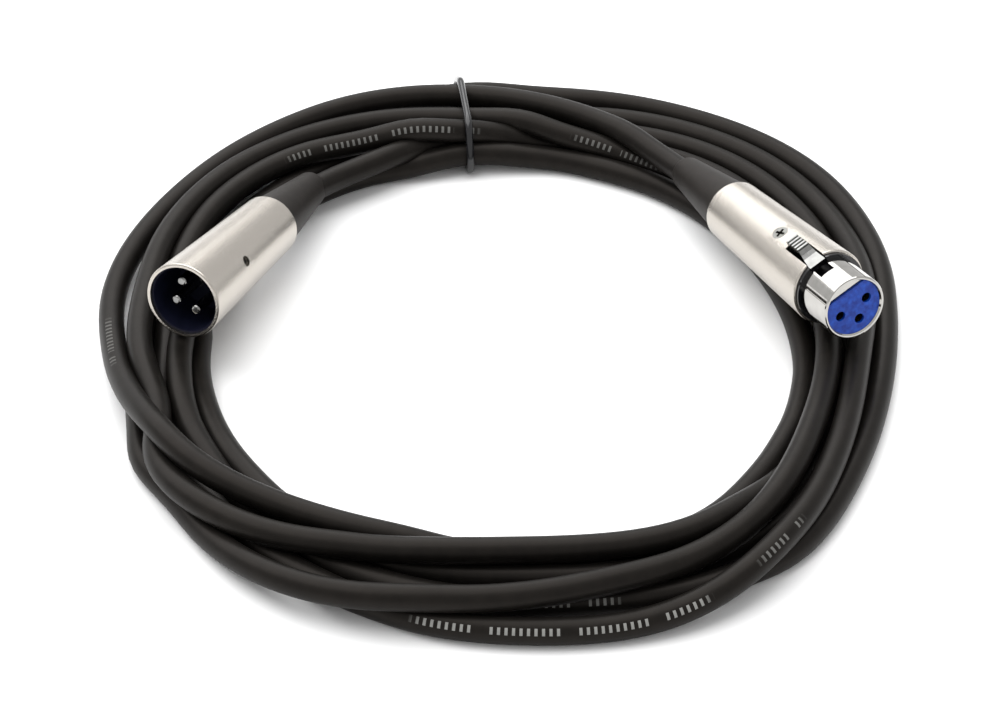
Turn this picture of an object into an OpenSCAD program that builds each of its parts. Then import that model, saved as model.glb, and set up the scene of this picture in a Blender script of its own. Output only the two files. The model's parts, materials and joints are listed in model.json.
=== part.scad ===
// Coiled balanced audio cable with a three-pin male and a three-socket female connector.
// The coil lies flat on z = 0 with its centre at the origin, +Z up.
// Both connectors lie on the inner edge of the coil and point towards -Y.

/* [Cable] */
// Outer diameter of the cable
cable_d = 6.2; // [5.5:0.1:7]
// Inner radius of the coil at its two sides, left and right
coil_in_side = 71; // [66:1:75]
// Outer radius of the coil at its two sides
coil_out_side = 96; // [92:1:104]
// Inner radius of the coil at its front and back
coil_in_end = 76; // [70:1:80]
// Outer radius of the coil at its front and back
coil_out_end = 107; // [100:1:115]
// Height of the coil, two layers of cable
coil_h = 13; // [12:0.5:16]
// Thickness of the round band that ties the coil
tie_d = 2; // [1.6:0.2:2.4]

/* [Connector shells] */
// Radius of a shell at its mating end
shell_r = 9.5; // [9.3:0.1:9.8]
// Radius of a shell at its cable end
shell_rear_r = 7.8; // [7.7:0.1:8.2]
// Length of a shell
shell_l = 47; // [46:1:52]
// Length of a rubber boot outside its shell
boot_l = 26; // [20:1:30]
// Radius of a boot where the cable leaves it
boot_tip_r = 4.3; // [4:0.1:5]

/* [Contacts] */
// Radius of the circle that the contacts stand on
contact_circle_r = 3.81; // [3.7:0.01:3.9]
// Radius of a contact pin
pin_r = 1.2; // [1.1:0.05:1.2]
// Bore radius of a socket
socket_r = 1.25; // [1.25:0.01:1.28]

/* [Male end] */
// Radius of the male cup
cup_r = 8.2; // [8.1:0.05:8.3]
// Depth of the male cup
cup_depth = 14.5; // [14:0.5:15]
// Distance of the pin tips below the rim
pin_recess = 3; // [2:0.5:4]

/* [Female end] */
// Outer radius of the nose that enters a male cup
nose_r = 8; // [7.9:0.05:8.05]
// Length of the nose in front of the shell
nose_l = 12; // [11:0.5:13]
// Width of the release latch at its grip pad
latch_w = 3.1; // [2.8:0.1:3.6]

/* [Hidden] */
$fn = 64;

cable_r = cable_d / 2;
gap = 0.4;                 // space cut out of the coil around what lies in it
mate_l = 40;               // room kept in front of each connector
hair = 0.02;               // fit of pieces that are pressed together
eps = 0.01;

// Where each connector's mating plane lies, which way it points, how far it tips up and its roll
male_at = [-74.7, -10.4, 21];
male_heading = -112;
male_tip = 9.6;
male_roll = 30;
female_at = [77.9, -4.7, 21];
female_heading = -65;
female_tip = 8.3;
female_roll = 114;

// Distances along a connector from its mating plane, negative towards the cable
insert_end = -24;          // rear face of both inserts
cup_end = -28.5;           // rear of the solder cups
jacket_end = -31;          // where the cable's jacket is stripped
clamp_from = -39;
clamp_to = -33;
boot_flange = -43;         // how far the boot reaches into the shell
boot_end = -shell_l - boot_l;
rear_bore_r = 6.9;         // inside of both shells towards the cable
male_seat_r = 7.8;         // bore that holds the male insert
female_seat_r = 7.35;      // bore that holds the female insert's rear block
nose_end = -9;             // rear face of the nose sleeve
nose_seat_r = nose_r - 0.4;  // where the sleeve sits inside gasket and shell
liner_r = 8.6;             // outside of the insert's liner in the male cup
liner_front = -1;
insert_flange = 0.8;       // disc behind the male cup that carries the liner
stem_r = 1.6;              // part of a male pin that is held in its insert
socket_stem_r = 1.55;

// Set screws, on the +Y side of each connector
screw_r = 1.2;
screw_head_r = 2.1;
male_screw_z = -18.2;
female_screw_z = -16.8;
grub_r = 1.3;              // headless screw of the male end
grub_below = 1.2;          // its top below the shell's surface
screw_depth_r = 4.9;       // how close a screw's tip comes to the axis

// Latch
pivot_y = 4.9;
pivot_z = -22.3;
pivot_r = 0.7;
slot_w = 4.8;              // slot for the latch in shell, gasket and nose
slot_rear = -10.4;
slot_front = 1.8;
window_w = 3.8;            // narrower window in the nose, ahead of the latch
window_front = 5.2;
flat_y = 4.6;              // flat on the female insert under the latch
rear_flat_y = 3.6;         // deeper flat under the latch's arms

// Pin and socket positions around the axis, the third one opposite the latch side
contact_angles = [180, 0, 270];

// Free ends of the cable after the boots, chosen by hand
male_lead_points = [[-42, 65.5, 7.8], [-36, 70, 7.6], [-28, 74, 7.6]];
female_lead_points = [[42, 70.5, 9.4], [37, 75.5, 9.2], [30, 80, 9]];

// Band around the coil, seen as a rectangle with round corners
tie_angle = 96;
tie_corner = 1.2;

// ---------------------------------------------------------------- placement

module at_male() {
    translate(male_at)
        rotate([0, 90 - male_tip, male_heading])
            rotate([0, 0, male_roll])
                children();
}

module at_female() {
    translate(female_at)
        rotate([0, 90 - female_tip, female_heading])
            rotate([0, 0, female_roll])
                children();
}

// A point on a connector's axis in the object's frame
function along(at, tip, heading, z) =
    at + z * [cos(tip) * cos(heading), cos(tip) * sin(heading), sin(tip)];

// ---------------------------------------------------------------- cable

function unit(v) = v / norm(v);
function oval_r(a, side, end) = side + (end - side) * pow(sin(a), 2);
function oval(side, end) = [
    for (a = [0:5:355]) oval_r(a, side, end) * [cos(a), sin(a)]
];

module oval_slab(inset, z0, z1) {
    translate([0, 0, z0])
        linear_extrude(z1 - z0)
            difference() {
                polygon(oval(coil_out_side - inset, coil_out_end - inset));
                polygon(oval(coil_in_side + inset, coil_in_end + inset));
            }
}

// Outer shape of a connector with room around it, and in front for the connector that mates
module connector_space() {
    translate([0, 0, -shell_l - gap])
        cylinder(h = shell_l + gap, r1 = shell_rear_r + gap, r2 = shell_r + gap);
    translate([0, 0, -eps])
        cylinder(h = mate_l, r = shell_r + gap);
    translate([0, 0, boot_end - gap])
        cylinder(h = boot_l + 2 * gap, r1 = boot_tip_r + gap, r2 = shell_rear_r);
}

module cable_coil() {
    edge = 2;
    color("#26262a")
        difference() {
            union() {
                oval_slab(edge, 0, edge);
                oval_slab(0, edge, coil_h - edge);
                oval_slab(edge, coil_h - edge, coil_h);
            }
            at_male() connector_space();
            at_female() connector_space();
            tie_groove();
        }
}

// Round tube swept through a list of points; up is any direction that the path never takes
function tangent(p, i) = unit(p[min(i + 1, len(p) - 1)] - p[max(i - 1, 0)]);
function ring_points(p, i, r, n, up) =
    let (t = tangent(p, i), side = unit(cross(t, up)), rise = cross(side, t))
    [for (k = [0:n - 1]) p[i] + r * (cos(360 * k / n) * side + sin(360 * k / n) * rise)];

module swept_tube(p, r, n, up) {
    rings = [for (i = [0:len(p) - 1]) each ring_points(p, i, r, n, up)];
    last = (len(p) - 1) * n;
    sides = [
        for (i = [0:len(p) - 2], k = [0:n - 1])
            [i * n + k, i * n + (k + 1) % n, (i + 1) * n + (k + 1) % n, (i + 1) * n + k]
    ];
    start = [for (k = [n - 1:-1:0]) k];
    end = [for (k = [0:n - 1]) last + k];
    polyhedron(points = rings, faces = concat([start], sides, [end]));
}

module cable_lead_male() {
    inside = [for (z = [jacket_end, clamp_from, boot_end + 1, boot_end - 1, boot_end - 5])
        along(male_at, male_tip, male_heading, z)];
    color("#26262a")
        swept_tube(concat(inside, male_lead_points), cable_r - hair, 12, [0, 0, 1]);
}

module cable_lead_female() {
    inside = [for (z = [jacket_end, clamp_from, boot_end + 1, boot_end - 1, boot_end - 5])
        along(female_at, female_tip, female_heading, z)];
    color("#26262a")
        swept_tube(concat(inside, female_lead_points), cable_r - hair, 12, [0, 0, 1]);
}

tie_from = oval_r(tie_angle, coil_in_side, coil_in_end);
tie_to = oval_r(tie_angle, coil_out_side, coil_out_end);

// A closed loop of round section around the coil's cross-section
module tie_loop() {
    r = tie_d / 2;
    rotate([0, 0, tie_angle])
        translate([tie_from + r, 0, r])
            rotate([90, 0, 0])
                round_loop(tie_to - tie_from - tie_d, coil_h - tie_d, tie_corner, r);
}

// Channel pressed into the coil by the band
module tie_groove() {
    depth = tie_d + 0.1;
    w = tie_d + 0.2;
    rotate([0, 0, tie_angle])
        translate([tie_from, -w / 2, 0])
            difference() {
                translate([-5, 0, -1]) cube([tie_to - tie_from + 10, w, coil_h + 2]);
                translate([depth, -1, depth])
                    cube([tie_to - tie_from - 2 * depth, w + 2, coil_h - 2 * depth]);
            }
}

module round_loop(width, height, corner, r) {
    for (x = [0, width])
        translate([x, corner, 0])
            rotate([-90, 0, 0])
                cylinder(h = height - 2 * corner, r = r, $fn = 24);
    for (y = [0, height])
        translate([corner, y, 0])
            rotate([0, 90, 0])
                cylinder(h = width - 2 * corner, r = r, $fn = 24);
    for (q = [[corner, corner, 180], [width - corner, corner, 270],
              [width - corner, height - corner, 0], [corner, height - corner, 90]])
        translate([q[0], q[1], 0])
            rotate([0, 0, q[2]])
                rotate_extrude(angle = 90, $fn = 48)
                    translate([corner, 0]) circle(r, $fn = 24);
}

module cable_tie() {
    color("#141416") tie_loop();
}

// ---------------------------------------------------------------- pieces that both ends share

// Tapered tube with a rounded lip in front and a rounded rear edge, and a bore in three steps
module shell_body(mouth_r, mouth_end, seat_r) {
    lip = 0.4;
    rotate_extrude($fn = 96)
        polygon([
            [mouth_r, 0], [shell_r - lip, 0], [shell_r - 0.1, -0.12], [shell_r, -lip],
            [shell_rear_r, -shell_l + 0.5], [shell_rear_r - 0.15, -shell_l + 0.12],
            [shell_rear_r - 0.5, -shell_l], [rear_bore_r, -shell_l],
            [rear_bore_r, insert_end], [seat_r, insert_end],
            [seat_r, mouth_end], [mouth_r, mouth_end]
        ]);
}

module bore(r, z0, z1) {
    translate([0, 0, z0]) cylinder(h = z1 - z0, r = r, $fn = 96);
}

// Outer radius of a shell at a distance z from its mating plane
function shell_r_at(z) = shell_r + (shell_rear_r - shell_r) * z / -shell_l;

module toward_screw(z) {
    translate([0, 0, z]) rotate([-90, 0, 0]) children();
}

module set_screw_hole(z) {
    head_top = shell_r_at(z);
    toward_screw(z) {
        translate([0, 0, screw_depth_r]) cylinder(h = 6, r = screw_r + hair, $fn = 32);
        translate([0, 0, head_top - 1.2])
            cylinder(h = 1.2 + eps, r1 = screw_r + hair, r2 = screw_head_r + hair, $fn = 48);
        translate([0, 0, head_top]) cylinder(h = 1, r = screw_head_r + hair, $fn = 48);
    }
}

module grub_hole(z) {
    toward_screw(z)
        translate([0, 0, screw_depth_r]) cylinder(h = 6, r = grub_r + hair, $fn = 48);
}

// Headless screw with a cross recess, sunk below the shell's surface
module grub_screw(z) {
    top = shell_r_at(z) - grub_below;
    toward_screw(z)
        difference() {
            translate([0, 0, screw_depth_r + 0.2])
                cylinder(h = top - screw_depth_r - 0.2, r = grub_r, $fn = 48);
            for (turn = [0, 90])
                rotate([0, 0, turn + 20])
                    translate([-0.9, -0.3, top - 0.7]) cube([1.8, 0.6, 1]);
        }
}

// Countersunk screw with a cross recess, its head just below the shell's surface
module set_screw(z) {
    head_top = shell_r_at(z) - 0.15;
    head_h = 1.05;
    cross_w = 0.7;
    cross_l = 2.6;
    toward_screw(z)
        difference() {
            union() {
                translate([0, 0, screw_depth_r + 0.2])
                    cylinder(h = head_top - head_h - screw_depth_r - 0.2, r = screw_r, $fn = 32);
                translate([0, 0, head_top - head_h])
                    cylinder(h = head_h, r1 = screw_r, r2 = screw_head_r - 0.13, $fn = 48);
            }
            for (turn = [0, 90])
                rotate([0, 0, turn + 20])
                    translate([-cross_l / 2, -cross_w / 2, head_top - 0.8])
                        cube([cross_l, cross_w, 1]);
        }
}

// Rear carrier of an insert: a trough below the wires that the clamp sits in
module carrier() {
    trough_in = 5.9;
    difference() {
        bore(rear_bore_r - 0.1, clamp_from, insert_end + eps);
        bore(trough_in, clamp_from - 1, insert_end - 0.8);
        translate([-8, -3.2, clamp_from - 1]) cube([16, 12, insert_end - clamp_from + 0.2]);
    }
}

module contact_at(i) {
    rotate([0, 0, contact_angles[i]]) translate([contact_circle_r, 0, 0]) children();
}

// Solder cup on the rear end of a contact
module solder_cup() {
    difference() {
        bore(1.3, cup_end, insert_end);
        bore(0.85, cup_end - 1, cup_end + 3);
    }
}

// One insulated wire from the stripped jacket, bending out into its solder cup
module wire(i) {
    wire_r = 0.6;
    path = [
        [1.6, 0, jacket_end + hair], [1.6, 0, jacket_end + 0.5], [3.2, 0, cup_end - 1],
        [contact_circle_r, 0, cup_end - 0.2], [contact_circle_r, 0, cup_end + 1.5]
    ];
    rotate([0, 0, contact_angles[i]]) swept_tube(path, wire_r, 12, [0, 1, 0]);
}

// Two half saddles around the jacket, with a gap between their ears
module cable_clamp() {
    wall = 0.9;
    ear_x = 6.2;
    ear_y = 1.5;
    split = 0.5;
    l = clamp_to - clamp_from;
    difference() {
        union() {
            bore(cable_r + wall, clamp_from, clamp_to);
            translate([-ear_x, -ear_y, clamp_from]) cube([2 * ear_x, 2 * ear_y, l]);
        }
        bore(cable_r, clamp_from - 1, clamp_to + 1);
        translate([-8, -split / 2, clamp_from - 1]) cube([16, split, l + 2]);
        for (x = [-clamp_screw_x, clamp_screw_x])
            translate([x, -4, (clamp_from + clamp_to) / 2])
                rotate([-90, 0, 0]) cylinder(h = 8, r = 0.82, $fn = 32);
    }
}
clamp_screw_x = 5;

module clamp_screws() {
    for (x = [-clamp_screw_x, clamp_screw_x])
        translate([x, 0, (clamp_from + clamp_to) / 2])
            rotate([-90, 0, 0])
                difference() {
                    union() {
                        translate([0, 0, -1.7]) cylinder(h = 3.2, r = 0.8, $fn = 32);
                        translate([0, 0, 1.5]) cylinder(h = 0.9, r = 1.2, $fn = 32);
                    }
                    translate([-1, -0.2, 2]) cube([2, 0.4, 1]);
                }
}

// Tapered rubber boot with a flange inside the shell and a rounded end
module boot() {
    flange_r = rear_bore_r - hair;
    collar_r = shell_rear_r - 0.7;
    bore_r = cable_r + hair;
    round = 1.6;
    arc = [for (a = [0:15:90])
        [boot_tip_r - round + round * cos(a), boot_end + round - round * sin(a)]];
    rotate_extrude($fn = 72)
        polygon(concat(
            [[bore_r, boot_flange], [flange_r, boot_flange], [flange_r, -shell_l],
             [collar_r, -shell_l]],
            arc,
            [[bore_r, boot_end]]
        ));
}

// ---------------------------------------------------------------- male end

// Pocket in the cup's wall that a latch hooks into
module catch_pocket() {
    catch_w = 5.2;
    translate([-catch_w / 2, cup_r - 1, -5]) cube([catch_w, 1.7, 3.4]);
}

module male_shell() {
    color("#c9c2b6")
        at_male()
            difference() {
                shell_body(liner_r + hair, -cup_depth - insert_flange, male_seat_r);
                catch_pocket();
                grub_hole(male_screw_z);
            }
}

module male_insert() {
    color("#1b1f3c")
        at_male()
            difference() {
                union() {
                    bore(male_seat_r - hair, insert_end, -cup_depth);
                    bore(liner_r, -cup_depth - insert_flange, liner_front);
                    carrier();
                }
                bore(cup_r, -cup_depth, 1);
                for (i = [0:2]) contact_at(i) bore(stem_r + hair, insert_end - 1, 1);
                catch_pocket();
                grub_hole(male_screw_z);
            }
}

module male_pin(i) {
    round = 0.5;
    color("#d8d8da")
        at_male()
            contact_at(i) {
                rotate_extrude($fn = 48)
                    polygon(concat(
                        [[0, insert_end], [stem_r, insert_end],
                         [stem_r, -cup_depth], [pin_r, -cup_depth]],
                        [for (a = [0:30:90])
                            [pin_r - round + round * cos(a), -pin_recess - round + round * sin(a)]],
                        [[0, -pin_recess]]
                    ));
                solder_cup();
            }
}

module male_set_screw() {
    color("#b9b4aa") at_male() grub_screw(male_screw_z);
}

module male_cable_clamp() {
    color("#a9a9ab") at_male() cable_clamp();
}

module male_clamp_screws() {
    color("#a9a9ab") at_male() clamp_screws();
}

module male_boot() {
    color("#2c2a29") at_male() boot();
}

// ---------------------------------------------------------------- female end

module latch_slot(z0, z1, y0, w = slot_w) {
    translate([-w / 2, y0, z0]) cube([w, 12, z1 - z0]);
}

module female_shell() {
    color("#c9c2b6")
        at_female()
            difference() {
                shell_body(nose_seat_r + hair, nose_end, female_seat_r);
                bore(gasket_r + hair, gasket_rear, 1);
                latch_slot(slot_rear, 1, 4);
                set_screw_hole(female_screw_z);
            }
}
gasket_r = 8.9;
gasket_rear = -1.6;
gasket_front = 1;

module female_nose() {
    wall = 1;
    inner = nose_r - wall;
    crescent_from = nose_l - 2.4;
    crescent_to = nose_l - 1;
    color("#dcdcdc")
        at_female() {
            difference() {
                rotate_extrude($fn = 96)
                    polygon([
                        [inner, nose_end], [nose_seat_r, nose_end],
                        [nose_seat_r, gasket_front], [nose_r, gasket_front],
                        [nose_r, nose_l - 0.4],
                        [nose_r - 0.12, nose_l - 0.12], [nose_r - 0.4, nose_l],
                        [inner + 0.3, nose_l], [inner, nose_l - 0.4]
                    ]);
                latch_slot(nose_end - 1, slot_front, 4);
                latch_slot(slot_front - eps, window_front, 4, window_w);
                // shallow parting grooves along the nose
                for (a = [44, 136])
                    rotate([0, 0, a])
                        translate([nose_r - 0.2, -0.2, gasket_front]) cube([1, 0.4, nose_l]);
            }
            // web that closes the space over the insert's flat
            intersection() {
                bore(inner + 0.1, crescent_from, crescent_to);
                translate([-8, flat_y + 0.05, crescent_from]) cube([16, 8, 5]);
            }
        }
}

module female_gasket() {
    color("#101012")
        at_female()
            difference() {
                bore(gasket_r, gasket_rear, gasket_front);
                bore(nose_seat_r + hair, gasket_rear - 1, gasket_front + 1);
                latch_slot(gasket_rear - 1, gasket_front + 1, 0);
            }
}

module female_insert() {
    front = nose_l - 0.5;
    inner = nose_r - 1 - hair;
    color("#2440b8")
        at_female()
            difference() {
                union() {
                    difference() {
                        bore(inner, nose_end, front);
                        translate([-8, flat_y, nose_end - 1]) cube([16, 8, front - nose_end + 2]);
                    }
                    difference() {
                        bore(female_seat_r - hair, insert_end, nose_end);
                        translate([-8, rear_flat_y, insert_end - 1])
                            cube([16, 8, nose_end - insert_end + 1]);
                    }
                    // boss that takes the set screw, between the latch's arms
                    translate([-1.9, 0, female_screw_z - 2]) cube([3.8, 7, 4]);
                    for (side = [-1, 1]) pivot_lug(side);
                    carrier();
                }
                for (i = [0:2])
                    contact_at(i) {
                        bore(socket_r, nose_l - 3, nose_l);
                        bore(socket_wall_r + hair, socket_shoulder, nose_l - 2.3);
                        bore(socket_stem_r + hair, insert_end - 1, socket_shoulder + 1);
                    }
                toward_screw(female_screw_z)
                    translate([0, 0, screw_depth_r]) cylinder(h = 6, r = screw_r + hair, $fn = 32);
                translate([-5, pivot_y, pivot_z])
                    rotate([0, 90, 0]) cylinder(h = 10, r = pivot_r + hair, $fn = 32);
            }
}
socket_wall_r = 1.75;
socket_shoulder = -6;

module pivot_lug(side) {
    x = side > 0 ? 3.3 : -4.2;
    translate([x, 0, pivot_z])
        rotate([0, 90, 0]) {
            translate([0, pivot_y, 0]) cylinder(h = 0.9, r = 1, $fn = 32);
            translate([-1, 1, 0]) cube([2, pivot_y - 1, 0.9]);
        }
}

module female_socket(i) {
    socket_depth = 12;
    front = nose_l - 2.3;
    color("#c8a868")
        at_female()
            contact_at(i) {
                difference() {
                    bore(socket_wall_r, socket_shoulder, front);
                    bore(socket_r, front - socket_depth, front + 1);
                }
                bore(socket_stem_r, insert_end, socket_shoulder);
                solder_cup();
            }
}

// Side view of the latch as [z, y] points, from its rear end over the pad and down the scoop
latch_profile = [
    [-10, 5.4], [-10, 10.5], [-9.6, 10.9], [-3.7, 10.9], [-3, 9.9], [-2.1, 9.2],
    [-1, 8.7], [0, 8.4], [0.8, 8.3], [0.8, 6.9], [-9, 6.9], [-9.6, 5.4]
];

// Half outline seen from above as [x, z]: the pad is narrow and the scoop widens to the nose
latch_plan = [
    [-latch_w / 2, -10.5], [latch_w / 2, -10.5], [latch_w / 2, -3.7], [2.15, 0], [2.15, 1.5],
    [-2.15, 1.5], [-2.15, 0], [-latch_w / 2, -3.7]
];

module latch() {
    arm_x = 2.2;
    arm_w = 1;
    color("#d4d6d2")
        at_female()
            difference() {
                union() {
                    intersection() {
                        translate([-4, 0, 0])
                            rotate([90, 0, 90])
                                linear_extrude(8) polygon([for (p = latch_profile) [p[1], p[0]]]);
                        translate([0, 12, 0])
                            rotate([90, 0, 0]) linear_extrude(8) polygon(latch_plan);
                    }
                    // five grip ribs across the pad
                    for (k = [0:4])
                        translate([-latch_w / 2, 10.8, -9.4 + k * 1.2])
                            cube([latch_w, 0.45, 0.6]);
                    // cross bar under the shell and the block that joins it to the pad
                    for (side = [-1, 1])
                        translate([side > 0 ? arm_x : -arm_x - arm_w, 0, 0]) latch_arm(arm_w);
                    translate([-arm_x - arm_w, 5.3, -14.2]) cube([2 * (arm_x + arm_w), 1, 1.8]);
                    translate([-latch_w / 2, 5.4, -13.8]) cube([latch_w, 1.3, 4]);
                }
                translate([-5, pivot_y, pivot_z])
                    rotate([0, 90, 0]) cylinder(h = 10, r = pivot_r + 0.05, $fn = 32);
            }
}

// One side arm of the latch, from the pad back to the pivot
module latch_arm(w) {
    rotate([90, 0, 90])
        linear_extrude(w)
            polygon([[5.3, -12.4], [6.3, -12.4], [6.2, -15], [5.8, -22], [4.4, -22], [5, -20]]);
    translate([0, pivot_y, pivot_z]) rotate([0, 90, 0]) cylinder(h = w, r = 1, $fn = 32);
}

// Bowed leaf between the insert's flat and the latch
module latch_spring() {
    w = 3;
    leaf = 0.25;
    rise = 2;
    bow = [for (t = [0:0.1:1]) [flat_y + 0.03 + rise * pow(sin(90 * t), 2), -7 + 6 * t]];
    back = [for (t = [1:-0.1:0]) [flat_y + 0.03 + leaf + rise * pow(sin(90 * t), 2), -7 + 6 * t]];
    color("#9a9a96")
        at_female()
            translate([-w / 2, 0, 0])
                rotate([90, 0, 90])
                    linear_extrude(w)
                        polygon(concat([[flat_y + 0.03, -8.5]], bow, back,
                                       [[flat_y + 0.03 + leaf, -8.5]]));
}

module latch_pivot_pin() {
    color("#9a9a96")
        at_female()
            translate([-4.2, pivot_y, pivot_z])
                rotate([0, 90, 0]) cylinder(h = 8.4, r = pivot_r, $fn = 32);
}

module female_set_screw() {
    color("#b9b4aa") at_female() set_screw(female_screw_z);
}

module female_cable_clamp() {
    color("#a9a9ab") at_female() cable_clamp();
}

module female_clamp_screws() {
    color("#a9a9ab") at_female() clamp_screws();
}

module female_boot() {
    color("#2c2a29") at_female() boot();
}

// ---------------------------------------------------------------- nodes

cable_coil();
cable_lead_male();
cable_lead_female();
cable_tie();
male_shell();
male_insert();
male_pin(0);  // male_pin_1
male_pin(1);  // male_pin_2
male_pin(2);  // male_pin_3
male_set_screw();
male_cable_clamp();
male_clamp_screws();
male_boot();
color("#b03030") at_male() wire(0);  // male_wire_hot
color("#e0e0e0") at_male() wire(1);  // male_wire_cold
color("#b08040") at_male() wire(2);  // male_wire_shield
female_shell();
female_nose();
female_gasket();
female_insert();
female_socket(0);  // female_socket_1
female_socket(1);  // female_socket_2
female_socket(2);  // female_socket_3
latch();
latch_spring();
latch_pivot_pin();
female_set_screw();
female_cable_clamp();
female_clamp_screws();
female_boot();
color("#b03030") at_female() wire(0);  // female_wire_hot
color("#e0e0e0") at_female() wire(1);  // female_wire_cold
color("#b08040") at_female() wire(2);  // female_wire_shield
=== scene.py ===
import json
import math
import bpy
import numpy as np
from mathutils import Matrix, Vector


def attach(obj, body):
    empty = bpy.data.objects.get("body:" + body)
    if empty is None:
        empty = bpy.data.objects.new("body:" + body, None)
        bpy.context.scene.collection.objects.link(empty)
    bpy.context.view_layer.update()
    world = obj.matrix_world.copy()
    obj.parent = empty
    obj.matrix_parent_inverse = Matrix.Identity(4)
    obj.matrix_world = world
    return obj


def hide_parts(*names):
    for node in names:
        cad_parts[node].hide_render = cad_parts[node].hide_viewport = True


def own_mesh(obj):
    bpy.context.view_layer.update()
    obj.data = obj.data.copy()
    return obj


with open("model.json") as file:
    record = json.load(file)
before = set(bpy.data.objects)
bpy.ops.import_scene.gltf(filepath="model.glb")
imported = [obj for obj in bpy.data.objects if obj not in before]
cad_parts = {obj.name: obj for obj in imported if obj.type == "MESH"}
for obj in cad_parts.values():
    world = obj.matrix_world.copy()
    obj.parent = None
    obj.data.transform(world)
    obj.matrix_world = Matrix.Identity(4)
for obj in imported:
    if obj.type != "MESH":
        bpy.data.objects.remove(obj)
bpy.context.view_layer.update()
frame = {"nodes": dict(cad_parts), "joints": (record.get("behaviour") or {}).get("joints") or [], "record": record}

MOUNTS = {m["name"]: m for m in frame["record"]["mounts"]}
JOINT = frame["joints"][0]
BODY = "cable"

# ------------------------------------------------------------------ sizes, in metres
CABLE_R = 0.0031
TIE_R = 0.001
SHELL_L = 0.047
BOOT_L = 0.026
NOSE_L = 0.012
NOSE_MID = 0.0065               # how far the nose's mount lies in front of the female shell
MALE_AXIS = Vector(MOUNTS["male_cup"]["axis"]).normalized()
FEMALE_AXIS = Vector(MOUNTS["female_nose"]["axis"]).normalized()
MALE_AT = Vector(MOUNTS["male_cup"]["pos_m"])
FEMALE_AT = Vector(MOUNTS["female_nose"]["pos_m"]) - NOSE_MID * FEMALE_AXIS
MALE_EXIT = MALE_AT - (SHELL_L + BOOT_L) * MALE_AXIS
FEMALE_EXIT = FEMALE_AT - (SHELL_L + BOOT_L) * FEMALE_AXIS
FLAT_Y = 0.0046                 # height of the female insert's flat beneath the latch
FACE_DEPTH = 0.0012             # the female insert is blue to this far behind the nose's front; deeper in it is painted near black as shade
IN_BOOT = 0.018                 # how far the modelled cable reaches into each boot
OUT_OF_BOOT = 0.005             # how far the route follows a connector's axis out of its boot
VIEW_ELEVATION = math.radians(37)
# from the object to the camera of the main view
VIEW_BACK = np.array([0.0, -math.cos(VIEW_ELEVATION), math.sin(VIEW_ELEVATION)])
TIE_ANGLE = 96                  # where the band is, in degrees from +X seen from above
CABLE_SIDES = 20
TIE_SIDES = 14
TIE_POINTS = 180                # directions in which each strand under the band is outlined
TIE_STEP = 0.0012               # between the rings of the band

# A connector's outer radius, at distances along its axis from the front of its shell.
PROFILE_AT = [-0.0725, -0.0715, -0.047, -0.0469, 0, 0.0001, NOSE_L]
PROFILE_R = [0.0035, 0.0043, 0.0071, 0.0078, 0.0095, 0.008, 0.008]

# The leaf beneath the latch. Its foot and bend are along the female axis from the shell's front.
LEAF_FOOT = -0.0085
LEAF_BEND = -0.007              # where it starts to rise
LEAF_RUN = 0.006                # the length in which it rises
LEAF_RISE = 0.002
LEAF_STEPS = 12
LEAF_FACES = (0.00003, 0.00028)     # lower and upper face, above the leaf's line
LEAF_HALF = 0.0015              # half of its width


# ------------------------------------------------------------------ camera
def add_camera():
    target = Vector((0, -0.0085, 0.005))
    distance = 0.72
    back = Vector(VIEW_BACK)
    data = bpy.data.cameras.new("camera")
    data.sensor_width = 36
    data.lens = 108.36
    cam = bpy.data.objects.new("camera", data)
    cam.location = target + distance * back
    cam.rotation_euler = (-back).to_track_quat("-Z", "Y").to_euler()
    bpy.context.collection.objects.link(cam)
    bpy.context.scene.camera = cam


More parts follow.
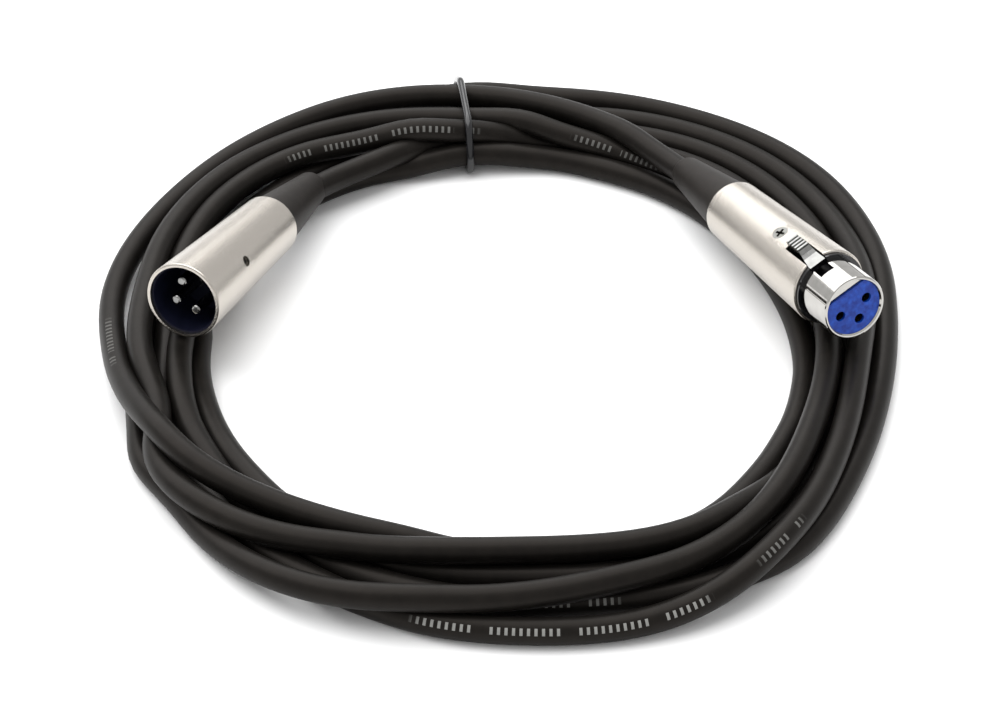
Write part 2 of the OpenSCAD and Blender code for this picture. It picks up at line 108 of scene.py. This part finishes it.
# ------------------------------------------------------------------ the cable's route
# Stations of each turn, clockwise seen from above: angle in degrees, radius and height in mm.
ROUTE = [
    # from the male boot under the band, then hidden low in the middle of the coil
    (119, 74, 8.5), (113, 75.8, 8.3), (107, 78.5, 8), (101, 82, 6.8), (95, 86, 4.8), (87, 89.5, 3.3),
    (75, 94.5, 3), (62, 97.2, 3), (50, 97, 3), (38, 94, 3), (28, 91, 3), (18, 89, 3), (0, 87.5, 3),
    (-20, 88.5, 3), (-35, 91, 3), (-48, 94.5, 3), (-58, 96, 3), (-67, 93, 3), (-76, 89, 3),
    (-85, 88.5, 3), (-93, 88.5, 3), (-103, 88.5, 3), (-116, 86, 3), (-131, 81.4, 3),
    (-138, 79.8, 3), (-146, 77.2, 3), (-155, 75.6, 3), (-165, 74.2, 3), (-175, 74.2, 3),
    (176, 76.2, 3), (167, 78.6, 3), (157, 80.5, 3), (147, 82, 3), (135, 84.5, 3), (122, 87.5, 3),
    (110, 90.5, 3), (98, 94, 3), (87, 97.5, 3), (77, 101, 3), (69, 103, 3),
    # second strand of the right side, which crosses the outermost one to the front
    (61, 103.6, 3), (54, 103.8, 3), (46, 102.8, 3), (35, 100, 3.2), (22, 95.4, 4.2),
    (6, 89.6, 7), (-11, 86, 8.5),
    (-21, 88, 8.5), (-31, 91, 8.5), (-39, 95, 8.5), (-47, 100, 9), (-54, 104, 9.2),
    (-60, 107, 8), (-65, 109, 5.8), (-71, 109, 3.6), (-77, 108, 3), (-84, 107, 3), (-92, 105.4, 3),
    (-102, 104, 3), (-117, 97.5, 3), (-132, 91.5, 3), (-147, 87, 3), (-160, 83, 3),
    (-172, 81, 3),
    # the inner strand that rises to the top of the coil along its front
    (177, 80.8, 3.4), (165, 83, 6), (155, 86, 8), (147, 87.8, 8.5), (136, 89.5, 8.6), (127, 89.3, 8.6),
    (119, 86, 8.4), (110, 81.5, 11), (103, 80, 11.3), (96, 79.4, 10), (88, 82.3, 7.4), (80, 85.3, 4.8),
    (72, 87.3, 3.2), (60, 90.6, 3), (48, 89.8, 3), (36, 86.5, 3), (20, 82.5, 3), (5, 81.8, 3),
    (-10, 82, 3), (-24, 83.4, 3),
    (-38, 86.3, 5), (-47, 87.3, 8), (-55, 89.3, 8.6), (-62, 90.8, 8.5), (-71, 89, 8.5),
    (-82, 86, 8.5), (-93, 87, 8.5), (-104, 89, 8.5), (-115, 92.5, 8.5), (-124, 96.5, 8.5),
    (-133, 98.3, 8.5), (-142, 97.2, 8.5), (-152, 92.2, 8.5), (-165, 88.5, 8.5),
    # over the back, under the female boot, then the outer top strand of the front
    (-177, 87, 8.8), (170, 87.5, 8.8), (157, 90.5, 8.6), (145, 93.4, 8.6), (135, 95, 8.7), (125, 96, 8.7),
    (116, 95.5, 8), (107, 93, 8.5), (96, 90, 8.5), (87, 84, 9), (79, 82, 8), (71, 81.8, 7),
    (63, 83.8, 4.2), (54, 84.2, 3), (44, 82, 4), (35, 79.7, 6.3), (20, 78.3, 8.5), (0, 79, 8.5),
    (-16, 80.5, 8.7), (-26, 82, 9.4), (-37, 86.5, 11), (-46, 91.5, 10.4), (-55, 95.5, 9),
    (-63, 98.4, 8.5), (-72, 99, 8.5), (-82, 100, 8.5), (-93, 102, 8.5), (-102, 104.4, 8.3),
    (-111, 105.6, 7.7), (-118, 105, 6.7), (-126, 102.3, 5), (-135, 96.5, 3.2), (-143, 92.6, 3),
    (-155, 89, 3), (-168, 87, 3),
    # outermost strand of the back and the right side, then low beneath the front
    (180, 86, 3), (165, 86.5, 3), (150, 89, 3), (135, 95, 3), (120, 101, 3), (105, 106, 3),
    (94, 107.5, 3), (84, 108.5, 3), (72, 110, 3), (61, 110, 3), (50, 110, 3), (37, 107.3, 3),
    (25, 102, 3), (11, 96.5, 3), (-3, 93, 3), (-16, 92.3, 3), (-25, 93.4, 3), (-33, 95.8, 3),
    (-40, 98.6, 3), (-48, 102.6, 3), (-56, 105, 3), (-62, 104, 3), (-69, 101, 3), (-78, 98.7, 3),
    (-88, 97.3, 3), (-100, 96, 3), (-115, 92, 3), (-130, 88, 3), (-147, 83.5, 4), (-155, 82, 6),
    (-163, 79.5, 8), (-171, 77.8, 8.3), (-180, 76, 8.2), (171, 74.8, 6.5), (161, 74.2, 4),
    (150, 75, 3),
    # innermost turn, which rises over the whole coil at its front left
    (140, 77, 3), (127, 78.7, 3), (115, 78.5, 3), (106, 77.6, 3), (96, 79, 3), (87, 81, 3),
    (79, 80.6, 3), (70, 79.2, 3), (59, 77.8, 3), (45, 75.2, 3), (27, 72.6, 3), (9, 72.6, 3),
    (-9, 74.7, 3), (-20, 77.2, 3), (-30, 79.3, 3), (-43, 82.2, 3), (-53, 85, 3), (-62, 86, 3),
    (-72, 84.2, 3), (-82, 82.6, 3), (-92, 82.6, 3.4), (-100, 83.6, 5.6), (-108, 84.4, 8),
    (-117, 85, 8.5), (-128, 87, 9), (-135, 91.5, 12), (-142, 93, 14), (-153, 92, 12),
    (-165, 91.5, 8), (-176, 93, 5),
    # outermost along the left and on top at the back, then into the female boot
    (172, 97, 4), (163, 98, 5), (154, 98.5, 6), (143, 99.5, 7), (132, 100, 8), (121, 101.8, 9),
    (113, 103.2, 9), (105, 102.8, 9), (96, 101, 9), (84, 95, 10), (76, 92, 10), (68, 86, 10),
    (59, 79, 10.5),
]

# Rows of plain ticks, where the real jacket is printed: from and to along the cable in metres, and
# how pale they are.
TICK_ROWS = [(0.894, 0.957, 1.0), (2.65, 2.695, 0.7), (0.863, 0.878, 0.5), (1.16, 1.212, 0.5),
             (1.8, 1.822, 0.4), (3.295, 3.318, 0.35)]
TICKS = (640.0, 0.42)           # how many in a metre, and the share of each period that is pale
GROUPS = (53.0, 0.85)           # the same for groups of ticks
TICK_HALF = 0.0008              # half of a tick's length, which lies across the cable
TICK_FACING = 0.3               # ticks show where the jacket faces their side by at least this
TICK_COLOUR = (0.22, 0.22, 0.21, 1)

# How the cable settles. A round is one small move of every point.
ROUTE_STEP = 0.004              # between points while it settles
PINNED = 0.004                  # the cable is held to its axis this far out of a boot
TIP_POINTS = 5                  # points past the pinned ones that the connectors don't push
CONNECTOR_GAP = 0.0002
CONNECTOR_PUSH = 0.5            # share of an overlap with a connector that goes in a round
STRAND_GAP = 0.00005
STRAND_PUSH = 0.7               # share of an overlap of two strands that goes in a round
SAME_STRAND = 3.5               # points nearer along the cable than this many radii aren't a pair
SEARCH_GAP = 0.004              # pairs with less room than this are followed
SEARCH_EVERY = 10               # rounds from one search for such pairs to the next
GIVE = (1.0, 0.08)              # how easily a hidden strand gives way, and a seen one
HOLD = (0.02, 0.3)              # their share of the way back to where they were laid, in a round
EVEN_OUT = 0.45                 # share of a shift's unevenness that goes in a round
SINK = 0.00003                  # drop in a round
LIFT_FADE = 0.012               # beside the band the lift is whole to 0.6 of this, and gone at 1.6


def polar(angle, r, z):
    """A station of the route in metres."""
    a = math.radians(angle)
    return np.array([r * math.cos(a), r * math.sin(a), z]) / 1000


def spline(points, step):
    """Evenly spaced points along a smooth curve through the given ones."""
    per_span = 12
    p = np.array(points)
    p = np.vstack([2 * p[0] - p[1], p, 2 * p[-1] - p[-2]])
    out = []
    for i in range(1, len(p) - 2):
        a, b, c, d = p[i - 1:i + 3]
        for t in np.linspace(0, 1, per_span, endpoint=False):
            out.append(0.5 * (2 * b + (c - a) * t + (2 * a - 5 * b + 4 * c - d) * t * t
                              + (3 * b - 3 * c + d - a) * t ** 3))
    out.append(p[-2])
    return resample(np.array(out), step)


def resample(p, step):
    s = np.concatenate([[0], np.cumsum(np.linalg.norm(np.diff(p, axis=0), axis=1))])
    n = int(round(s[-1] / step))
    at = np.linspace(0, s[-1], n + 1)
    return np.column_stack([np.interp(at, s, p[:, k]) for k in range(3)])


def axis_points(exit_point, axis, depths):
    return [np.array(exit_point + d * axis) for d in depths]


def push_out(p, free, at, axis, reach):
    """Moves points out of a connector, from the boot's end to reach in front of its shell."""
    axis = np.array(axis)
    rel = p - np.array(at)
    t = rel @ axis
    side = rel - np.outer(t, axis)
    d = np.linalg.norm(side, axis=1)
    want = np.interp(t, PROFILE_AT, PROFILE_R) + CABLE_R + CONNECTOR_GAP
    hit = free & (t > -(SHELL_L + BOOT_L)) & (t < reach) & (d < want)
    p[hit] += side[hit] / d[hit, None] * (want[hit] - d[hit])[:, None] * CONNECTOR_PUSH


def floor_height(p):
    """How low the cable's centre may lie: on the table, or on the band where it runs beneath."""
    angle = math.radians(TIE_ANGLE)
    off = np.abs(-p[:, 0] * math.sin(angle) + p[:, 1] * math.cos(angle))
    near = p[:, 0] * math.cos(angle) + p[:, 1] * math.sin(angle) > 0
    lift = 2 * TIE_R * np.clip(1.6 - off / LIFT_FADE, 0, 1) * near
    return CABLE_R + lift


def soften(p, width):
    """Evens out bends shorter than the given width; the ends stay."""
    step = np.linalg.norm(p[1] - p[0])
    n = int(3 * width / step)
    kernel = np.exp(-0.5 * (np.arange(-n, n + 1) * step / width) ** 2)
    kernel /= kernel.sum()
    long = np.vstack([2 * p[0] - p[n:0:-1], p, 2 * p[-1] - p[-2:-n - 2:-1]])
    return np.column_stack([np.convolve(long[:, k], kernel, "valid") for k in range(3)])


def covered(p, i, j):
    """Which points lie behind another strand as the picture is seen; those give way more easily."""
    gap = p[j] - p[i]
    toward = gap @ VIEW_BACK
    beside = np.linalg.norm(gap - toward[:, None] * VIEW_BACK, axis=1) < CABLE_R
    under = np.zeros(len(p), bool)
    under[i[beside & (toward > CABLE_R)]] = True
    under[j[beside & (toward < -CABLE_R)]] = True
    return under


def settle(p, rounds):
    """Lets the turns push each other apart and lie down, each close to where it was laid."""
    laid = p.copy()
    n = len(p)
    step = np.linalg.norm(p[1] - p[0])
    i, j = np.triu_indices(n, int(math.ceil(SAME_STRAND * CABLE_R / step)))
    rest = 2 * CABLE_R + STRAND_GAP
    under = covered(p, i, j)
    give = np.where(under, *GIVE)
    hold = np.where(under, *HOLD)[:, None]
    free = np.ones(n, bool)
    pinned = int(round((IN_BOOT + PINNED) / step))
    free[:pinned] = False
    free[-pinned:] = False
    clear = free.copy()
    clear[:pinned + TIP_POINTS] = False
    clear[-pinned - TIP_POINTS:] = False
    for k in range(rounds):
        if k % SEARCH_EVERY == 0:
            close = np.linalg.norm(p[i] - p[j], axis=1) < rest + SEARCH_GAP
            a, b = i[close], j[close]
            share = (give[b] / (give[a] + give[b]))[:, None]
        q = p.copy()
        off = p - laid
        q[1:-1] += EVEN_OUT * ((off[:-2] + off[2:]) / 2 - off[1:-1])
        q += hold * (laid - q)
        q[:, 2] -= SINK
        d = q[b] - q[a]
        dist = np.linalg.norm(d, axis=1)
        over = np.clip(rest - dist, 0, None)
        shift = d / np.maximum(dist, 1e-6)[:, None] * (over * STRAND_PUSH)[:, None]
        move = np.zeros_like(q)
        count = np.zeros(n)
        np.add.at(move, b, shift * share)
        np.add.at(move, a, -shift * (1 - share))
        np.add.at(count, b, over > 0)
        np.add.at(count, a, over > 0)
        q += move / np.maximum(count, 1)[:, None] ** 0.5
        push_out(q, clear, MALE_AT, MALE_AXIS, 0)
        push_out(q, clear, FEMALE_AT, FEMALE_AXIS, NOSE_L)
        q[:, 2] = np.maximum(q[:, 2], floor_height(q))
        q[~free] = laid[~free]
        p = q
    return p


def cable_path():
    depths = [IN_BOOT, IN_BOOT / 2, 0, -OUT_OF_BOOT]
    start = axis_points(MALE_EXIT, MALE_AXIS, depths)
    end = axis_points(FEMALE_EXIT, FEMALE_AXIS, depths[::-1])
    turns = [polar(*s) for s in ROUTE]
    p = soften(spline(start + turns + end, ROUTE_STEP), width=0.009)
    p = settle(p, rounds=220)
    p = settle(soften(p, width=0.006), rounds=60)
    return resample(soften(spline(p, step=0.002), width=0.004), step=0.003)


# ------------------------------------------------------------------ meshes
def make_mesh(name, verts, faces, smooth=True):
    mesh = bpy.data.meshes.new(name)
    mesh.from_pydata([tuple(v) for v in verts], [], faces)
    mesh.polygons.foreach_set("use_smooth", [smooth] * len(mesh.polygons))
    obj = bpy.data.objects.new(name, mesh)
    bpy.context.collection.objects.link(obj)
    return obj


def frames(p, closed=False):
    """Tangent and two side directions at each point, without twist."""
    if closed:
        t = np.roll(p, -1, axis=0) - np.roll(p, 1, axis=0)
    else:
        t = np.gradient(p, axis=0)
    t /= np.linalg.norm(t, axis=1)[:, None]
    side = np.cross(t[0], np.eye(3)[np.argmin(np.abs(t[0]))])
    u = np.zeros_like(p)
    u[0] = side / np.linalg.norm(side)
    for k in range(1, len(p)):
        v = u[k - 1] - t[k] * (u[k - 1] @ t[k])
        u[k] = v / np.linalg.norm(v)
    return t, u, np.cross(t, u)


def ring(u, w, sides):
    """The outward directions around one point of a tube."""
    angles = [2 * math.pi * s / sides for s in range(sides)]
    return [math.cos(a) * u + math.sin(a) * w for a in angles]


def tube(name, p, radius, sides, closed=False):
    t, u, w = frames(p, closed)
    n = len(p)
    verts = []
    for k in range(n):
        verts += [p[k] + radius * outward for outward in ring(u[k], w[k], sides)]
    faces = []
    for k in range(n if closed else n - 1):
        m = (k + 1) % n
        for s in range(sides):
            e = (s + 1) % sides
            faces.append((k * sides + s, k * sides + e, m * sides + e, m * sides + s))
    if not closed:
        faces.append(tuple(range(sides))[::-1])
        faces.append(tuple((n - 1) * sides + s for s in range(sides)))
    return make_mesh(name, verts, faces)


def write_marks(obj, p):
    """Stores at each point of the cable what its ticks need.

    How far along the cable it is, how far to the side of the row, how much it faces the row's side,
    and how pale the row is there. The row runs along the side that the picture shows.
    """
    t, u, w = frames(p)
    out = VIEW_BACK - (t @ VIEW_BACK)[:, None] * t
    out /= np.linalg.norm(out, axis=1)[:, None]
    side = np.cross(t, out)
    along = np.concatenate([[0], np.cumsum(np.linalg.norm(np.diff(p, axis=0), axis=1))])
    shade = np.zeros(len(p))
    for start, end, tone in TICK_ROWS:
        shade[(along > start) & (along < end)] = tone
    values = {"mark_along": [], "mark_beside": [], "mark_facing": [], "mark_shade": []}
    for k in range(len(p)):
        for outward in ring(u[k], w[k], CABLE_SIDES):
            values["mark_along"].append(along[k])
            values["mark_beside"].append(CABLE_R * float(outward @ side[k]))
            values["mark_facing"].append(float(outward @ out[k]))
            values["mark_shade"].append(shade[k])
    for key, row in values.items():
        obj.data.attributes.new(key, "FLOAT", "POINT").data.foreach_set("value", row)


# ------------------------------------------------------------------ materials
RELIEF = 0.0001                 # height of the fine relief of every material that has one


def material(name):
    mat = bpy.data.materials.new(name)
    mat.use_nodes = True
    nodes = mat.node_tree.nodes
    return mat, nodes, mat.node_tree.links, nodes["Principled BSDF"]


def coords(nodes):
    return nodes.new("ShaderNodeTexCoord").outputs["Object"]


def noise(nodes, links, scale):
    tex = nodes.new("ShaderNodeTexNoise")
    tex.inputs["Scale"].default_value = scale
    tex.inputs["Detail"].default_value = 3.0
    links.new(coords(nodes), tex.inputs["Vector"])
    return tex.outputs["Fac"]


def ramp(nodes, links, fac, stops):
    node = nodes.new("ShaderNodeValToRGB")
    elements = node.color_ramp.elements
    while len(elements) < len(stops):
        elements.new(0.5)
    for e, (pos, col) in zip(elements, stops):
        e.position = pos
        e.color = (*col, 1)
    links.new(fac, node.inputs["Fac"])
    return node.outputs["Color"]


def bump(nodes, links, fac, bsdf, strength):
    node = nodes.new("ShaderNodeBump")
    node.inputs["Strength"].default_value = strength
    node.inputs["Distance"].default_value = RELIEF
    links.new(fac, node.inputs["Height"])
    links.new(node.outputs["Normal"], bsdf.inputs["Normal"])


def simple(name, dark, light, rough, metallic=0.0, scale=400, bump_by=0.0, spec=0.5, grain=6.0):
    """A material whose colour wanders between two tones, with an optional fine relief."""
    mat, nodes, links, bsdf = material(name)
    fac = noise(nodes, links, scale)
    links.new(ramp(nodes, links, fac, [(0.3, dark), (0.7, light)]), bsdf.inputs["Base Color"])
    bsdf.inputs["Roughness"].default_value = rough
    bsdf.inputs["Metallic"].default_value = metallic
    bsdf.inputs["Specular IOR Level"].default_value = spec
    if bump_by:
        bump(nodes, links, noise(nodes, links, scale * grain), bsdf, bump_by)
    return mat


def attribute(nodes, name):
    node = nodes.new("ShaderNodeAttribute")
    node.attribute_name = name
    return node.outputs["Fac"]


def calc(nodes, links, operation, *values):
    node = nodes.new("ShaderNodeMath")
    node.operation = operation
    for socket, value in zip(node.inputs, values):
        if isinstance(value, (int, float)):
            socket.default_value = value
        else:
            links.new(value, socket)
    return node.outputs[0]


def pulse(nodes, links, value, count, share):
    """1 in the first share of each period and 0 in the rest, with count periods in a metre."""
    phase = calc(nodes, links, "FRACT", calc(nodes, links, "MULTIPLY", value, count))
    return calc(nodes, links, "LESS_THAN", phase, share)


def mix_colours(nodes, links, fac):
    """A mix by fac: the sockets of its first and second colour, and its result."""
    mix = nodes.new("ShaderNodeMix")
    mix.data_type = "RGBA"
    links.new(fac, mix.inputs[0])
    return mix.inputs[6], mix.inputs[7], mix.outputs[2]


def tint(mat, colour):
    mat.node_tree.nodes["Principled BSDF"].inputs["Specular Tint"].default_value = colour


def add_marks(mat):
    """Plain ticks in place of the printed line of the jacket."""
    nodes, links = mat.node_tree.nodes, mat.node_tree.links
    base = nodes["Principled BSDF"].inputs["Base Color"]
    along = attribute(nodes, "mark_along")
    tick = pulse(nodes, links, along, *TICKS)
    group = pulse(nodes, links, along, *GROUPS)
    beside = calc(nodes, links, "ABSOLUTE", attribute(nodes, "mark_beside"))
    line = calc(nodes, links, "LESS_THAN", beside, TICK_HALF)
    facing = calc(nodes, links, "GREATER_THAN", attribute(nodes, "mark_facing"), TICK_FACING)
    mask = calc(nodes, links, "MULTIPLY", calc(nodes, links, "MULTIPLY", tick, group),
                calc(nodes, links, "MULTIPLY", line, facing))
    mask = calc(nodes, links, "MULTIPLY", mask, attribute(nodes, "mark_shade"))
    plain, marked, result = mix_colours(nodes, links, mask)
    links.new(base.links[0].from_socket, plain)
    marked.default_value = TICK_COLOUR
    links.new(result, base)


def insert_material():
    """The female insert: mottled blue at its face, with painted shade (near black) behind it, where its recesses
    lie.
    """
    mat, nodes, links, bsdf = material("insert_blue")
    blue = ramp(nodes, links, noise(nodes, links, 700),
                [(0.35, (0.002, 0.025, 0.24)), (0.7, (0.008, 0.07, 0.45))])
    away = nodes.new("ShaderNodeVectorMath")
    away.operation = "SUBTRACT"
    away.inputs[1].default_value = tuple(FEMALE_AT)
    links.new(coords(nodes), away.inputs[0])
    deep = nodes.new("ShaderNodeVectorMath")
    deep.operation = "DOT_PRODUCT"
    deep.inputs[1].default_value = tuple(FEMALE_AXIS)
    links.new(away.outputs["Vector"], deep.inputs[0])
    # 1 at the insert's face; deeper in, the colour is the painted shade set below
    front = calc(nodes, links, "GREATER_THAN", deep.outputs["Value"], NOSE_L - FACE_DEPTH)
    painted_shade, face, result = mix_colours(nodes, links, front)
    # painted shade: every part of the insert deeper than its face, such as the flat seen through the latch window,
    # is coloured near black
    painted_shade.default_value = (0.006, 0.006, 0.01, 1)
    links.new(blue, face)
    links.new(result, bsdf.inputs["Base Color"])
    bsdf.inputs["Roughness"].default_value = 0.4
    bsdf.inputs["Specular IOR Level"].default_value = 0.25
    bump(nodes, links, noise(nodes, links, 2500), bsdf, strength=0.25)
    return mat


def build_materials():
    m = {}
    m["jacket"] = simple("jacket", (0.0044, 0.0039, 0.0035), (0.007, 0.0061, 0.0053), rough=0.42,
                         scale=300, bump_by=0.15, spec=0.14)
    tint(m["jacket"], (1, 0.9, 0.82, 1))
    add_marks(m["jacket"])
    m["tie"] = simple("tie", (0.004, 0.004, 0.005), (0.008, 0.008, 0.009), rough=0.18)
    m["satin"] = simple("satin", (0.44, 0.41, 0.37), (0.52, 0.485, 0.44), rough=0.27, metallic=1,
                        scale=3600, bump_by=0.6, grain=0.8)
    m["bright"] = simple("bright", (0.4, 0.39, 0.37), (0.46, 0.45, 0.43), rough=0.1, metallic=1)
    m["navy"] = simple("navy", (0.004, 0.005, 0.014), (0.007, 0.008, 0.022), rough=0.5, spec=0.2)
    m["blue"] = insert_material()
    m["contact"] = simple("contact", (0.2, 0.2, 0.2), (0.28, 0.28, 0.27), rough=0.16, metallic=1)
    m["lever"] = simple("lever", (0.22, 0.22, 0.215), (0.3, 0.3, 0.29), rough=0.2, metallic=1)
    m["screw"] = simple("screw", (0.14, 0.14, 0.13), (0.2, 0.2, 0.19), rough=0.3, metallic=1)
    m["gold"] = simple("gold", (0.5, 0.36, 0.15), (0.6, 0.45, 0.2), rough=0.3, metallic=1)
    m["gasket"] = simple("gasket", (0.004, 0.004, 0.005), (0.007, 0.007, 0.008), rough=0.12)
    m["boot"] = simple("boot", (0.0065, 0.0056, 0.005), (0.0105, 0.009, 0.008), rough=0.5,
                       scale=500, bump_by=0.2, spec=0.2)
    tint(m["boot"], (1, 0.88, 0.8, 1))
    m["steel"] = simple("steel", (0.45, 0.45, 0.45), (0.55, 0.55, 0.55), rough=0.35, metallic=1)
    m["red"] = simple("red", (0.4, 0.03, 0.03), (0.5, 0.05, 0.05), rough=0.4)
    m["white"] = simple("white", (0.65, 0.65, 0.62), (0.75, 0.75, 0.72), rough=0.4)
    m["copper"] = simple("copper", (0.6, 0.3, 0.15), (0.75, 0.42, 0.25), rough=0.35, metallic=1)
    return m


NODE_MATERIALS = {
    "male_shell": "satin", "female_shell": "satin", "male_insert": "navy",
    "male_pin_1": "contact", "male_pin_2": "contact", "male_pin_3": "contact",
    "male_set_screw": "screw", "female_set_screw": "screw", "female_nose": "bright",
    "latch": "lever", "female_gasket": "gasket", "female_insert": "blue",
    "female_socket_1": "gold", "female_socket_2": "gold", "female_socket_3": "gold",
    "male_boot": "boot", "female_boot": "boot", "latch_spring": "steel",
    "latch_pivot_pin": "steel", "male_cable_clamp": "steel", "female_cable_clamp": "steel",
    "male_clamp_screws": "steel", "female_clamp_screws": "steel",
    "male_wire_hot": "red", "female_wire_hot": "red", "male_wire_cold": "white",
    "female_wire_cold": "white", "male_wire_shield": "copper", "female_wire_shield": "copper",
    "cable_coil": "jacket", "cable_lead_male": "jacket", "cable_lead_female": "jacket",
    "cable_tie": "tie",
}


def paint(obj, mat):
    obj.data.materials.clear()
    obj.data.materials.append(mat)


# ------------------------------------------------------------------ pieces
def make_cable(mats):
    path = cable_path()
    obj = tube("cable", path, CABLE_R, CABLE_SIDES)
    paint(obj, mats["jacket"])
    write_marks(obj, path)
    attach(obj, BODY)
    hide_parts("cable_coil", "cable_lead_male", "cable_lead_female")
    return obj, path


def make_tie(mats, path):
    """The round band, which follows the outline of the strands that it holds."""
    angle = math.radians(TIE_ANGLE)
    out = np.array([math.cos(angle), math.sin(angle), 0])
    across = np.array([-math.sin(angle), math.cos(angle), 0])
    s = path @ across
    cuts = []
    for k in np.nonzero(s[:-1] * s[1:] <= 0)[0]:
        f = s[k] / (s[k] - s[k + 1])
        q = path[k] + f * (path[k + 1] - path[k])
        if q @ out > 0:
            cuts.append((q @ out, q[2]))
    centres = np.array(cuts)
    outlines = []
    for a in np.linspace(0, 2 * math.pi, TIE_POINTS, endpoint=False):
        outlines.append(centres + (CABLE_R + TIE_R) * np.array([math.cos(a), math.sin(a)]))
    hull = convex_hull(np.vstack(outlines))
    loop = np.array([h[0] * out + np.array([0, 0, max(h[1], TIE_R)]) for h in hull])
    loop = resample(np.vstack([loop, loop[:1]]), TIE_STEP)[:-1]
    obj = tube("tie_band", loop, TIE_R, TIE_SIDES, closed=True)
    paint(obj, mats["tie"])
    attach(obj, BODY)
    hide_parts("cable_tie")
    return obj


def make_spring(mats):
    """The bowed leaf beneath the latch."""
    across = Vector(JOINT["axis"]).normalized()
    lift = FEMALE_AXIS.cross(across).normalized()
    if lift.z < 0:
        lift = -lift
    line = [(0.0, LEAF_FOOT)]
    for k in range(LEAF_STEPS + 1):
        line.append((LEAF_RISE * math.sin(math.pi / 2 * k / LEAF_STEPS) ** 2,
                     LEAF_BEND + LEAF_RUN * k / LEAF_STEPS))
    verts = []
    for rise, depth in line:
        for thick in LEAF_FACES:
            for half in (-LEAF_HALF, LEAF_HALF):
                point = FEMALE_AT + half * across + (FLAT_Y + rise + thick) * lift
                verts.append(point + depth * FEMALE_AXIS)
    faces = [(0, 1, 3, 2)]
    for k in range(len(line) - 1):
        a, b = 4 * k, 4 * k + 4
        for c, d in ((0, 1), (1, 3), (3, 2), (2, 0)):
            faces.append((a + c, b + c, b + d, a + d))
    last = 4 * (len(line) - 1)
    faces.append((last, last + 2, last + 3, last + 1))
    obj = make_mesh("latch_leaf", verts, faces, smooth=False)
    paint(obj, mats["steel"])
    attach(obj, BODY)
    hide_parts("latch_spring")
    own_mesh(obj)


def convex_hull(points):
    """The corners of the outline of points in a plane, in order."""
    pts = sorted(map(tuple, points))

    def half(seq):
        out = []
        for p in seq:
            while len(out) > 1 and ((out[-1][0] - out[-2][0]) * (p[1] - out[-2][1])
                                    - (out[-1][1] - out[-2][1]) * (p[0] - out[-2][0])) <= 0:
                out.pop()
            out.append(p)
        return out[:-1]

    return half(pts) + half(reversed(pts))


# ------------------------------------------------------------------ studio
def add_studio():
    half = 3.0
    floor = make_mesh("floor", [(-half, -half, 0), (half, -half, 0), (half, half, 0), (-half, half, 0)],
                      [(0, 1, 2, 3)])
    mat, _, _, bsdf = material("floor_white")
    bsdf.inputs["Base Color"].default_value = (0.9, 0.9, 0.9, 1)
    bsdf.inputs["Roughness"].default_value = 0.9
    paint(floor, mat)
    world = bpy.data.worlds.new("studio")
    bpy.context.scene.world = world
    world.use_nodes = True
    background = world.node_tree.nodes["Background"]
    background.inputs["Color"].default_value = (1, 1, 1, 1)
    background.inputs["Strength"].default_value = 0.85
    area_light("panel", (-0.35, 0.5, 1.2), size=2.2, power=40)
    bpy.context.scene.view_settings.view_transform = "Standard"


def area_light(name, at, size, power):
    """A square light that points at the origin."""
    data = bpy.data.lights.new(name, "AREA")
    data.size = size
    data.energy = power
    lamp = bpy.data.objects.new(name, data)
    lamp.location = at
    lamp.rotation_euler = (-Vector(at)).to_track_quat("-Z", "Y").to_euler()
    bpy.context.collection.objects.link(lamp)


# ------------------------------------------------------------------ build
add_camera()
materials = build_materials()
cable, centreline = make_cable(materials)
tie = make_tie(materials, centreline)
make_spring(materials)
for node, obj in frame["nodes"].items():
    paint(obj, materials[NODE_MATERIALS[node]])
add_studio()
